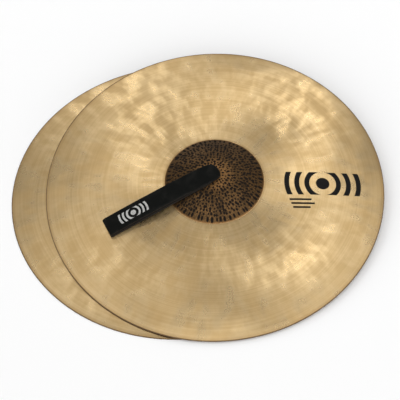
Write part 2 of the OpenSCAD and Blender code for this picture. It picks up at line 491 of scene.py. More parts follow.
@dataclass(frozen=True)
class LathedBow:
    """The bow's bright turned bronze, hammered before it was turned, with or without a printed mark, with
    painted highlights on its hammer streaks and painted shade in its dents and along its rim's edge.
    """

    bright: RGBA = (0.75, 0.55, 0.29, 1)
    deep: RGBA = (0.59, 0.40, 0.18, 1)
    warm: RGBA = (0.36, 0.20, 0.075, 1)
    # Painted shade for the rounded edge of the rim.
    shaded_edge: RGBA = (0.16, 0.095, 0.04, 1)
    ink: RGBA = (0.005, 0.0045, 0.004, 1)
    pitch: float = 1.1 * MM
    gloss_low: float = 0.27
    gloss_high: float = 0.37
    spread: float = 0.85
    mark_middle: tuple[float, float, float] = (145 * MM, -7 * MM, 0)
    mark_width: float = 104 * MM
    bars: tuple[tuple[float, float], ...] = ((-46 * MM, -17 * MM), (-44 * MM, -13 * MM), (-42 * MM, -19 * MM))
    bar_drop: float = 25 * MM
    bar_gap: float = 6 * MM
    bar_half: float = 1.2 * MM
    bar_blur: float = 0.4 * MM

    def printed(self, bench: Bench, effects: Effects, place: Value) -> Value:
        """Mask of the printed mark and of the three short bars under it.

        Args:
            bench: the material's bench.
            effects: the shared effects.
            place: a point on the plate, from its centre.

        Returns:
            1 on the ink and 0 off it.
        """
        about = bench.vector("SUBTRACT", place, self.mark_middle).outputs[0]
        mask = bench.use(effects.mark, Place=about, Width=self.mark_width).outputs["Mask"]
        split = bench.add("ShaderNodeSeparateXYZ")
        bench.feed(split.inputs[0], about)
        for row, (left, right) in enumerate(self.bars):
            middle, half = (left + right) / 2, (right - left) / 2
            level = -self.bar_drop - row * self.bar_gap
            aside = bench.math("ABSOLUTE", bench.math("SUBTRACT", split.outputs["X"], middle))
            over = bench.math("ABSOLUTE", bench.math("SUBTRACT", split.outputs["Y"], level))
            bar = bench.math("MULTIPLY", bench.ease(aside, half + self.bar_blur, half),
                             bench.ease(over, self.bar_half + self.bar_blur, self.bar_half))
            mask = bench.math("MAXIMUM", mask, bar)
        return mask

    def material(self, name: str, effects: Effects, profile: "Profile", marked: bool) -> bpy.types.Material:
        """Builds the finish.

        Args:
            name: the material's name.
            effects: the shared effects.
            profile: the plate's profile, for where its rim and its bell's foot are.
            marked: whether the printed mark is on this plate.

        Returns:
            The material.
        """
        material, bench, shader = new_material(name)
        place = bench.read("own_place", "Vector")
        spot = bench.use(effects.polar, Place=place)
        radius = spot.outputs["Radius"]
        lathe = bench.use(effects.lathe, Place=place, Pitch=self.pitch)
        hammer = bench.use(effects.hammer, Place=place)
        streak = bench.ease(hammer.outputs["Streak"], 0.36, 0.66)
        cloud = bench.ease(hammer.outputs["Cloud"], 0.36, 0.66)
        dent = bench.read("dent")
        # Painted highlight and shade: the streaks lift the colour where their glints fall, and the dents
        # lower it as their shade.
        lift = bench.math("ADD", bench.math("MULTIPLY", streak, 0.28), bench.math("MULTIPLY", cloud, 0.16))
        lift = bench.math("ADD", lift, bench.ease(lathe.outputs["Tone"], 0.34, 0.66, 0.2, 0.46))
        lift = bench.math("SUBTRACT", lift, bench.math("MULTIPLY", dent, 0.12))
        colour = bench.blend(bench.ease(lift, 0.15, 0.85), self.deep, self.bright)
        rim_zone = bench.ease(radius, profile.rim_r - 7 * MM, profile.rim_r - 1 * MM, 0, 0.3)
        colour = bench.blend(rim_zone, colour, self.warm)
        foot_ring = bench.ease(radius, profile.bell_r + 3.5 * MM, profile.bell_r + 0.5 * MM, 0, 0.45)
        colour = bench.blend(foot_ring, colour, self.warm)
        # Painted shade: the very edge of the rim is darkened, roughened and made less metallic.
        wear_and_edge_shade = bench.ease(radius, profile.rim_r - 1.9 * MM, profile.rim_r - 0.9 * MM, 0, 0.9)
        colour = bench.blend(wear_and_edge_shade, colour, self.shaded_edge)
        rough = bench.math("ADD", bench.math("MULTIPLY", streak, self.gloss_low - self.gloss_high),
                           self.gloss_high)
        rough = bench.math("ADD", bench.math("MULTIPLY", wear_and_edge_shade, 0.4), rough)
        covered = bench.math("MULTIPLY", wear_and_edge_shade, 0.85)
        if marked:
            ink = self.printed(bench, effects, place)
            colour = bench.blend(ink, colour, self.ink)
            rough = bench.math("ADD", bench.math("MULTIPLY", ink, 0.2), rough)
            covered = bench.math("MAXIMUM", covered, ink)
        metal = bench.math("SUBTRACT", 1.0, covered)
        bench.feed(shader.inputs["Base Color"], colour)
        bench.feed(shader.inputs["Roughness"], rough)
        bench.feed(shader.inputs["Metallic"], metal)
        shader.inputs["Specular IOR Level"].default_value = 0.12
        shader.inputs["Anisotropic"].default_value = self.spread
        tangent = bench.add("ShaderNodeTangent", direction_type="UV_MAP", uv_map=PLATE_MAP)
        bench.feed(shader.inputs["Tangent"], tangent.outputs[0])
        height = bench.math("ADD", lathe.outputs["Height"], bench.math("MULTIPLY", streak, 0.8))
        bench.feed(shader.inputs["Normal"], bench.bump(height, 0.06 * MM, 0.7))
        return material


@dataclass(frozen=True)
class RawBell:
    """The bell's unturned skin: dark scale beaten full of pits, rubbed golden round the hole, with painted
    glints of the same gold on its specks.
    """

    web: RGBA = (0.078, 0.044, 0.018, 1)
    web_dark: RGBA = (0.032, 0.020, 0.010, 1)
    # Gold of the metal rubbed round the hole, also used for the painted glints on the specks.
    rubbed: RGBA = (0.38, 0.195, 0.07, 1)
    pit: RGBA = (0.008, 0.005, 0.003, 1)
    rubbed_r: float = 22 * MM

    def material(self, name: str, effects: Effects, profile: "Profile") -> bpy.types.Material:
        """Builds the finish.

        Args:
            name: the material's name.
            effects: the shared effects.
            profile: the plate's profile, for where the bell's foot is.

        Returns:
            The material.
        """
        material, bench, shader = new_material(name)
        place = bench.read("own_place", "Vector")
        radius = bench.use(effects.polar, Place=place).outputs["Radius"]
        scale = bench.use(effects.tarnish, Place=place, Size=22 * MM)
        speck = scale.outputs["Speck"]
        colour = bench.blend(scale.outputs["Patch"], self.web, self.web_dark)
        # Painted highlight: specks all over the bell take the rubbed gold as glints.
        colour = bench.blend(bench.ease(speck, 0.45, 0.75, 0, 0.5), colour, self.rubbed)
        near_hole = bench.ease(radius, self.rubbed_r + 9 * MM, self.rubbed_r - 9 * MM, 0, 0.75)
        colour = bench.blend(bench.math("MULTIPLY", near_hole, bench.ease(speck, 0.3, 0.6)), colour,
                             self.rubbed)
        foot = bench.ease(radius, profile.bell_r - 2.0 * MM, profile.bell_r - 0.3 * MM, 0, 0.45)
        colour = bench.blend(foot, colour, self.rubbed)
        edge = bench.math("ADD", bench.read("pit"),
                          bench.math("MULTIPLY", bench.math("SUBTRACT", speck, 0.5), 0.5))
        pit = bench.ease(edge, 0.1, 0.45)
        colour = bench.blend(pit, colour, self.pit)
        bench.feed(shader.inputs["Base Color"], colour)
        bench.feed(shader.inputs["Metallic"], bench.ease(pit, 0, 1, 0.8, 0.1))
        bench.feed(shader.inputs["Roughness"], bench.ease(pit, 0, 1, 0.4, 0.8))
        shader.inputs["Specular IOR Level"].default_value = 0.15
        bench.feed(shader.inputs["Normal"], bench.bump(speck, 0.25 * MM, 0.6))
        return material


@dataclass(frozen=True)
class HollowSide:
    """The underside of a plate and its edge: turned bronze that has dulled in patches, with painted shade on
    the edge.
    """

    bright: RGBA = (0.56, 0.38, 0.17, 1)
    dull: RGBA = (0.27, 0.16, 0.07, 1)
    # Painted shade for the edge.
    shaded_edge: RGBA = (0.11, 0.065, 0.03, 1)
    pitch: float = 1.6 * MM
    spread: float = 0.6

    def material(self, name: str, effects: Effects, profile: "Profile") -> bpy.types.Material:
        """Builds the finish.

        Args:
            name: the material's name.
            effects: the shared effects.
            profile: the plate's profile, for where its rim is.

        Returns:
            The material.
        """
        material, bench, shader = new_material(name)
        place = bench.read("own_place", "Vector")
        lathe = bench.use(effects.lathe, Place=place, Pitch=self.pitch)
        dulled = bench.use(effects.tarnish, Place=place, Size=45 * MM)
        colour = bench.blend(bench.ease(lathe.outputs["Tone"], 0.3, 0.7, 0, 0.35), self.bright, self.dull)
        stain = bench.math("MULTIPLY", dulled.outputs["Patch"], bench.ease(dulled.outputs["Speck"], 0.3, 0.7))
        colour = bench.blend(bench.math("MULTIPLY", stain, 0.55), colour, self.dull)
        colour = bench.blend(bench.math("MULTIPLY", bench.read("pit"), 0.5), colour, self.dull)
        radius = bench.use(effects.polar, Place=place).outputs["Radius"]
        # Painted shade: the very edge is darkened and made less metallic.
        edge = bench.ease(radius, profile.rim_r - 1.5 * MM, profile.rim_r - 0.3 * MM)
        colour = bench.blend(edge, colour, self.shaded_edge)
        bench.feed(shader.inputs["Base Color"], colour)
        bench.feed(shader.inputs["Metallic"], bench.ease(edge, 0, 1, 1, 0.15))
        rough = bench.ease(bench.math("MAXIMUM", stain, edge), 0, 1, 0.34, 0.7)
        bench.feed(shader.inputs["Roughness"], rough)
        shader.inputs["Anisotropic"].default_value = self.spread
        tangent = bench.add("ShaderNodeTangent", direction_type="UV_MAP", uv_map=PLATE_MAP)
        bench.feed(shader.inputs["Tangent"], tangent.outputs[0])
        bench.feed(shader.inputs["Normal"], bench.bump(lathe.outputs["Height"], 0.05 * MM, 0.6))
        return material


@dataclass(frozen=True)
class BlackLeather:
    """Black leather: a fine-grained outside, a fibrous inside, rubbed edges, and one pale printed mark."""

    grain: RGBA = (0.0036, 0.0040, 0.0034, 1)
    scuffed: RGBA = (0.019, 0.018, 0.016, 1)
    flesh: RGBA = (0.030, 0.026, 0.022, 1)
    edge: RGBA = (0.016, 0.013, 0.011, 1)
    print_colour: RGBA = (0.50, 0.50, 0.48, 1)
    cells: float = 1300.0
    mark_width: float = 42 * MM

    def material(self, name: str, effects: Effects) -> bpy.types.Material:
        """Builds the finish. It reads what a band of leather stores at each vertex.

        Args:
            name: the material's name.
            effects: the shared effects.

        Returns:
            The material.
        """
        material, bench, shader = new_material(name)
        hide = bench.add("ShaderNodeUVMap", uv_map=STRAP_MAP).outputs[0]
        grain = bench.use(effects.grain, Place=hide, Cells=self.cells)
        outside, rubbed = bench.read("outside"), bench.read("rubbed")
        fibres = bench.noise(hide, 1500, detail=4, rough=0.7)
        patches = bench.ease(bench.noise(hide, 130, detail=4, rough=0.65), 0.4, 0.7)
        wear_and_edge_shade = bench.math("MULTIPLY", rubbed, patches)
        colour = bench.blend(bench.ease(grain.outputs["Tone"], 0.45, 0.75, 0, 0.35), self.grain, self.scuffed)
        colour = bench.blend(outside, bench.blend(fibres, self.edge, self.flesh), colour)
        colour = bench.blend(wear_and_edge_shade, colour, self.scuffed)
        mark = bench.use(effects.mark, Place=bench.read("mark_place", "Vector"), Width=self.mark_width)
        flaws = bench.ease(bench.noise(hide, 700, detail=3), 0.3, 0.45)
        shown = bench.math("MULTIPLY", mark.outputs["Mask"], bench.math("MULTIPLY", outside, flaws))
        colour = bench.blend(bench.math("MULTIPLY", shown, 0.9), colour, self.print_colour)
        bench.feed(shader.inputs["Base Color"], colour)
        bench.feed(shader.inputs["Roughness"], bench.ease(bench.math("ADD", outside, wear_and_edge_shade), 0, 1, 0.85, 0.58))
        shader.inputs["Specular IOR Level"].default_value = 0.06
        height = bench.blend(outside, fibres, grain.outputs["Height"])
        bench.feed(shader.inputs["Normal"], bench.bump(height, 0.12 * MM, 0.7))
        return material


# ---- Plates ----------------------------------------------------------------------------------


@dataclass(frozen=True)
class Profile:
    """Half a plate's section: an arc for the bow, with a blunt dome on it for the bell."""

    rim_r: float
    bell_r: float = 66.5 * MM
    bow_h: float = 25 * MM
    bell_h: float = 19 * MM
    bell_round: float = 2.2
    hole_r: float = 8 * MM
    hole_t: float = 1.7 * MM
    foot_t: float = 1.4 * MM
    edge_t: float = 0.9 * MM

    def top(self, radius: np.ndarray) -> np.ndarray:
        """Height of the upper side over the rim's plane.

        The bow is an arc through the rim at height 0 and the bell's foot at the bow's height. The bell
        rises from there by its own height times 1 - (radius / foot radius) ^ roundness.

        Args:
            radius: distances from the axis.

        Returns:
            The heights.
        """
        drop = (self.rim_r**2 - self.bell_r**2 - self.bow_h**2) / (2 * self.bow_h)
        arc_r = math.hypot(self.rim_r, drop)
        bow = np.sqrt(arc_r**2 - np.maximum(radius, self.bell_r) ** 2) - drop
        dome = self.bell_h * (1 - np.minimum(radius / self.bell_r, 1) ** self.bell_round)
        return self.edge_t + bow + dome

    def thickness(self, radius: np.ndarray) -> np.ndarray:
        """Thickness of the bronze, which changes evenly from hole to foot and from foot to rim."""
        return np.interp(radius, [0, self.bell_r, self.rim_r], [self.hole_t, self.foot_t, self.edge_t])


@dataclass(frozen=True)
class Marks:
    """Rows of hammer marks round a plate, each mark moved, sized and dropped at random."""

    first_r: float
    last_r: float
    row_gap: float
    pitch: float
    half_out: float
    half_round: float
    wander: float
    softness: float
    faint: float

    def depth(self, radius: np.ndarray, angle: np.ndarray, seed: int) -> np.ndarray:
        """How deep the marks are at each place, from 0 to 1.

        A mark is an ellipse. Its depth falls from full inside (1 - softness) of its size to nothing at
        its size. What is left standing is the product of (1 - depth) over all marks, so that marks that
        meet run into each other without a crease.

        Args:
            radius: distances from the axis.
            angle: angles round the axis, in radians.
            seed: makes one plate's marks differ from another's.

        Returns:
            The depths.
        """
        rng = np.random.default_rng(seed)
        standing = np.ones_like(radius)
        rows = int((self.last_r - self.first_r) / self.row_gap) + 1
        for row_r in np.linspace(self.first_r, self.last_r, rows):
            count = max(3, int(TURN * row_r / self.pitch))
            step = TURN / count
            start = rng.uniform(0, step)
            turn = rng.uniform(-0.3, 0.3, count) * step
            out = rng.uniform(-1, 1, count) * self.wander
            size = rng.uniform(0.72, 1.25, count)
            strength = 1 - self.faint * rng.uniform(0, 1, count) ** 0.7
            for near in (-1, 0, 1):
                number = (np.rint((angle - start) / step).astype(int) + near) % count
                aside = angle - start - number * step - turn[number]
                aside = (aside + math.pi) % TURN - math.pi
                off = np.hypot((radius - row_r - out[number]) / self.half_out,
                               radius * aside / self.half_round) / size[number]
                standing *= 1 - strength[number] * (1 - smooth_step(off, 1 - self.softness, 1))
        return 1 - standing


@dataclass
class Plate:
    """One bronze plate: a closed sheet from its hole, over the bell and bow, round the rim and back."""

    which: Which
    seed: int
    effects: Effects
    marked: bool
    around: int = 360
    bell_rows: int = 64
    bow_rows: int = 44
    under_rows: int = 24
    pit_depth: float = 0.34 * MM
    dent_depth: float = 0.18 * MM
    wave_depth: float = 0.09 * MM
    lip_rows: tuple[float, float] = (0.35 * MM, 0.9 * MM)
    close_row: float = 0.4 * MM
    hole_break: float = 0.3 * MM
    foot_pits: Marks = Marks(61.8 * MM, 61.8 * MM, 5 * MM, 6.3 * MM, 3.9 * MM, 2.0 * MM, 0.6 * MM, 0.6, 0.2)
    bell_pits: Marks = Marks(12.0 * MM, 56.0 * MM, 3.9 * MM, 4.4 * MM, 2.1 * MM, 1.8 * MM, 1.0 * MM, 0.6, 0.4)
    bow_dents: Marks = Marks(80 * MM, 212 * MM, 12 * MM, 17 * MM, 13 * MM, 7 * MM, 5 * MM, 1.0, 1.0)

    def __post_init__(self) -> None:
        """Finds the plate's place and radius from the frame."""
        self.node = f"{self.which.value}_cymbal"
        self.seat = plate_seat(self.which)
        low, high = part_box(self.node)
        self.profile = Profile(rim_r=(high.x - low.x) / 2)

    def waves(self, radius: np.ndarray, angle: np.ndarray) -> np.ndarray:
        """Slow unevenness of hand-hammered bronze: a sum of six crossed waves, from about -1 to 1.

        Args:
            radius: distances from the axis.
            angle: angles round the axis, in radians.

        Returns:
            The sum at each place, which is 0 at the bell's foot and at the rim.
        """
        rng = np.random.default_rng(self.seed + 7)
        total = np.zeros_like(radius)
        for lobes in (5, 7, 9, 12, 16, 21):
            turn, out, length = rng.uniform(0, TURN), rng.uniform(0, TURN), rng.uniform(30, 75) * MM
            total += np.sin(lobes * angle + turn) * np.sin(TURN * radius / length + out)
        inside = smooth_step(radius, self.profile.bell_r, self.profile.bell_r + 20 * MM)
        outside = 1 - smooth_step(radius, self.profile.rim_r - 12 * MM, self.profile.rim_r)
        return total / 2.2 * inside * outside

    def relief(self, radius: np.ndarray, angle: np.ndarray) -> tuple[np.ndarray, np.ndarray]:
        """Pits of the bell and dents of the bow at each place, both from 0 to 1."""
        pits = np.maximum(self.foot_pits.depth(radius, angle, self.seed),
                          self.bell_pits.depth(radius, angle, self.seed + 1))
        pits *= radius < self.profile.bell_r - 0.5 * MM
        dents = self.bow_dents.depth(radius, angle, self.seed + 2)
        dents *= smooth_step(radius, self.profile.bell_r + 2 * MM, self.profile.bell_r + 14 * MM)
        return pits, dents

    def upper(self, radii: np.ndarray, around: int) -> tuple[np.ndarray, np.ndarray, np.ndarray]:
        """Rows of the upper side: the profile, lowered by pits, dents and waves.

        Args:
            radii: the rows' radii.
            around: how many points each row has.

        Returns:
            Points in the plate's own directions, and the pits and the dents there.
        """
        radius, angle = np.meshgrid(radii, np.arange(around) * TURN / around, indexing="ij")
        pits, dents = self.relief(radius, angle)
        height = self.profile.top(radius) - pits * self.pit_depth - dents * self.dent_depth
        height += self.wave_depth * self.waves(radius, angle)
        points = np.stack([radius * np.cos(angle), radius * np.sin(angle), height], -1)
        return points.reshape(-1, 3), pits.ravel(), dents.ravel()

    def lower(self, radii: np.ndarray) -> tuple[np.ndarray, np.ndarray, np.ndarray]:
        """Rows of the underside: the upper side's shape, softened, a thickness lower. As upper()."""
        radius, angle = np.meshgrid(radii, np.arange(self.around) * TURN / self.around, indexing="ij")
        pits, dents = self.relief(radius, angle)
        height = self.profile.top(radius) - self.profile.thickness(radius)
        height += 0.6 * self.wave_depth * self.waves(radius, angle) - 0.35 * self.dent_depth * dents
        points = np.stack([radius * np.cos(angle), radius * np.sin(angle), height], -1)
        return points.reshape(-1, 3), pits.ravel(), dents.ravel()

    def rim(self) -> np.ndarray:
        """Rows round the plate's edge: half an ellipse from the upper side to the underside."""
        turn = np.radians(np.array([60, 30, 0, -30, -60]))[:, None]
        angle = (np.arange(self.around) * TURN / self.around)[None, :]
        half = self.profile.edge_t / 2
        radius = self.profile.rim_r - half + half * np.cos(turn)
        height = half + half * np.sin(turn) + 0 * angle
        return np.stack([radius * np.cos(angle), radius * np.sin(angle), height], -1).reshape(-1, 3)

    def radii(self) -> tuple[np.ndarray, np.ndarray, np.ndarray]:
        """Radii of the bell's rows, the bow's and the underside's, each in the order that they follow.

        The bell starts with close rows at the hole. The bow ends and the underside starts with one at
        the rim's rounding, so that the shading turns there and not over a whole row.
        """
        shape, close = self.profile, self.close_row
        rounding = shape.rim_r - shape.edge_t / 2
        bell = np.linspace(shape.hole_r + self.lip_rows[1], shape.bell_r, self.bell_rows)
        bell = np.concatenate([[shape.hole_r, shape.hole_r + self.lip_rows[0]], bell])
        bow = np.linspace(shape.bell_r + 2 * close, rounding - close, self.bow_rows)
        under = np.linspace(rounding - close, shape.bell_r, self.under_rows)
        dome = np.linspace(shape.bell_r - 4 * MM, shape.hole_r + 0.5 * MM, self.under_rows // 2)
        return bell, np.append(bow, rounding), np.concatenate([[rounding], under, dome])

    def build(self) -> bpy.types.Object:
        """Builds the plate and dresses it.

        Returns:
            The finished piece, riding on its body.
        """
        fine = 2 * self.around
        bell_radii, bow_radii, under_radii = self.radii()
        top, top_pits, top_dents = self.upper(np.concatenate([bell_radii, bow_radii]), fine)
        top[:fine, 2] -= self.hole_break
        wall = top[:fine].copy()
        wall[:, 2] -= self.profile.hole_t - 2 * self.hole_break
        edge = self.rim()
        under, under_pits, under_dents = self.lower(under_radii)
        own = np.concatenate([wall, top, edge, under])
        edge_first = len(wall) + len(top)
        edge_rows = (len(edge) + len(under)) // self.around
        faces = [band_quads(0, edge_first // fine, fine), band_quads(edge_first, edge_rows, self.around),
                 halving_seam(edge_first - fine, edge_first, self.around, True),
                 halving_seam(0, len(own) - self.around, self.around, False)]
        piece = make_piece(f"{self.which.value}_bronze_plate", self.seat.place(own), faces)
        radius = np.hypot(own[:, 0], own[:, 1])
        angle = np.arctan2(own[:, 1], own[:, 0]) / TURN % 1
        set_map(piece, PLATE_MAP, np.stack([angle, radius / self.profile.rim_r], -1), faces)
        set_attribute(piece, "own_place", own)
        plain_wall, plain_edge = np.zeros(len(wall)), np.zeros(len(edge))
        set_attribute(piece, "pit", np.concatenate([plain_wall, top_pits, plain_edge, under_pits]))
        set_attribute(piece, "dent", np.concatenate([plain_wall, top_dents, plain_edge, under_dents]))
        self.dress(piece, faces, fine * (len(bell_radii) + 1), edge_first)
        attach(piece, f"{self.which.value}_plate")
        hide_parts(self.node)
        return piece

    def dress(self, piece: bpy.types.Object, faces: list[np.ndarray], bow_first: int,
              edge_first: int) -> None:
        """Gives the plate's three surfaces their finishes.

        Args:
            piece: the plate's object.
            faces: its faces, as they were made.
            bow_first: number of the bow's first vertex.
            edge_first: number of the edge's first vertex.
        """
        word = self.which.value
        finishes = {
            Skin.BOW: LathedBow().material(f"{word}_bow_bronze", self.effects, self.profile, self.marked),
            Skin.BELL: RawBell().material(f"{word}_bell_bronze", self.effects, self.profile),
            Skin.HOLLOW: HollowSide().material(f"{word}_hollow_bronze", self.effects, self.profile),
        }
        for skin in Skin:
            piece.data.materials.append(finishes[skin])
        lowest = np.concatenate([block.min(axis=1) for block in faces])
        highest = np.concatenate([block.max(axis=1) for block in faces])
        skin = np.full(len(lowest), Skin.HOLLOW.value)
        skin[highest < edge_first] = Skin.BOW.value
        skin[highest < bow_first] = Skin.BELL.value
        skin[lowest < 2 * self.around] = Skin.HOLLOW.value
        piece.data.polygons.foreach_set("material_index", skin.astype(np.int32))


# ---- Straps ----------------------------------------------------------------------------------


def arc(centre: tuple[float, float], radius: float, start: float, end: float, step: float) -> np.ndarray:
    """Points of an arc in the strap's side view.

    Args:
        centre: its middle, as distance along the strap and height.
        radius: its radius.
        start: the first point's angle in degrees, where 0 is outwards and 90 is up.
        end: the last point's angle.
        step: distance between points.

    Returns:
        n points by 2.
    """
    count = max(4, int(radius * abs(math.radians(end - start)) / step))
    turn = np.radians(np.linspace(start, end, count))
    return np.stack([centre[0] + radius * np.cos(turn), centre[1] + radius * np.sin(turn)], -1)


def even_path(points: np.ndarray, step: float, soften: float) -> np.ndarray:
    """Spaces a path's points evenly and rounds its corners.

    Args:
        points: the path, n by 2 or n by 3.
        step: distance between the new points.
        soften: spread of the bell curve that each point is averaged with, as a distance.

    Returns:
        The new path, whose two ends stay where they were.
    """
    length = np.concatenate([[0], np.cumsum(np.linalg.norm(np.diff(points, axis=0), axis=1))])
    places = np.linspace(0, length[-1], int(length[-1] / step) + 1)
    even = np.stack([np.interp(places, length, points[:, k]) for k in range(points.shape[1])], -1)
    reach = int(3 * soften / step)
    weights = np.exp(-0.5 * (np.arange(-reach, reach + 1) * step / soften) ** 2)
    weights /= weights.sum()
    before = 2 * even[0] - even[reach:0:-1]
    after = 2 * even[-1] - even[-2:-reach - 2:-1]
    padded = np.concatenate([before, even, after])
    return np.stack([np.convolve(padded[:, k], weights, "valid") for k in range(points.shape[1])], -1)


@dataclass(frozen=True)
class Band:
    """A band of leather carried along a path, with flat sides and slightly rounded edges."""

    thickness: float
    flat_points: int = 21
    edge_points: int = 5
    edge_round: float = 0.9 * MM

    def section(self) -> tuple[np.ndarray, np.ndarray, np.ndarray]:
        """The band's section, clockwise from its outside's -y end.

        The flat sides run from -1 to 1 of the half width, and each edge is a quarter-power ellipse.

        Returns:
            Share of the half width, what the edge adds to it, and share of the half thickness.
        """
        flat = np.linspace(-1, 1, self.flat_points)
        turn = np.radians(np.linspace(90, -90, self.edge_points + 2)[1:-1])
        bulge = np.sqrt(np.abs(np.cos(turn)))
        rise = np.sign(np.sin(turn)) * np.sqrt(np.abs(np.sin(turn)))
        one, none = np.ones(self.edge_points), np.zeros(self.flat_points)
        share = np.concatenate([flat, one, -flat, -one])
        extra = np.concatenate([none, bulge, none, -bulge])
        depth = np.concatenate([none + 1, rise, none - 1, -rise])
        return share, extra, depth

    def build(self, name: str, seat: Seat, path: np.ndarray, outward: np.ndarray, across: np.ndarray,
              half_width: np.ndarray, crown: np.ndarray, mark_at: float | None = None) -> bpy.types.Object:
        """Builds the band: at each point of the path, the section is laid across it.

        Args:
            name: the piece's name.
            seat: where the path's own directions lie.
            path: its points, n by 3.
            outward: direction of the leather's outside at each point, n by 3.
            across: direction of its width at each point, n by 3.
            half_width: half its width at each point.
            crown: how far its edges droop behind its middle at each point.
            mark_at: distance along the strap of the printed mark's middle, or None for no mark.

        Returns:
            The new piece, closed at both ends, with its map and attributes.
        """
        share, extra, depth = self.section()
        inner = np.maximum(half_width - self.edge_round, 0.2 * MM)[:, None]
        aside = share * inner + extra * self.edge_round
        rise = depth * self.thickness / 2 - crown[:, None] * share**2
        own = path[:, None, :] + aside[..., None] * across[:, None, :]
        own += rise[..., None] * outward[:, None, :]
        rows, ring = len(path), len(share)
        own = own.reshape(-1, 3)
        ends = [np.arange(ring)[None, :], np.arange(ring)[None, ::-1] + (rows - 1) * ring]
        faces = [band_quads(0, rows, ring), *ends]
        piece = make_piece(name, seat.place(own), faces)
        run = np.concatenate([[0], np.cumsum(np.linalg.norm(np.diff(path, axis=0), axis=1))])
        around = np.where(depth >= 0, aside, aside + 0.2)
        layer = piece.data.uv_layers.new(name=STRAP_MAP)
        flat_map = np.stack([np.repeat(run, ring), around.ravel()], -1)
        corners = np.concatenate([block.ravel() for block in faces])
        layer.uv.foreach_set("vector", flat_map[corners].astype(np.float32).ravel())
        outside = np.broadcast_to(smooth_step(depth, -0.2, 0.9), (rows, ring))
        near_edge = 0.6 * smooth_step(np.abs(share), 0.9, 1.0)
        rubbed = np.broadcast_to(np.maximum(np.abs(extra), near_edge), (rows, ring))
        set_attribute(piece, "outside", outside.ravel())
        set_attribute(piece, "rubbed", rubbed.ravel())
        far = np.full((len(own), 3), 1.0)
        if mark_at is not None:
            half = rows // 2 * ring
            far[:half] = own[:half] - np.array([mark_at, 0, 0])
        set_attribute(piece, "mark_place", far)
        return piece


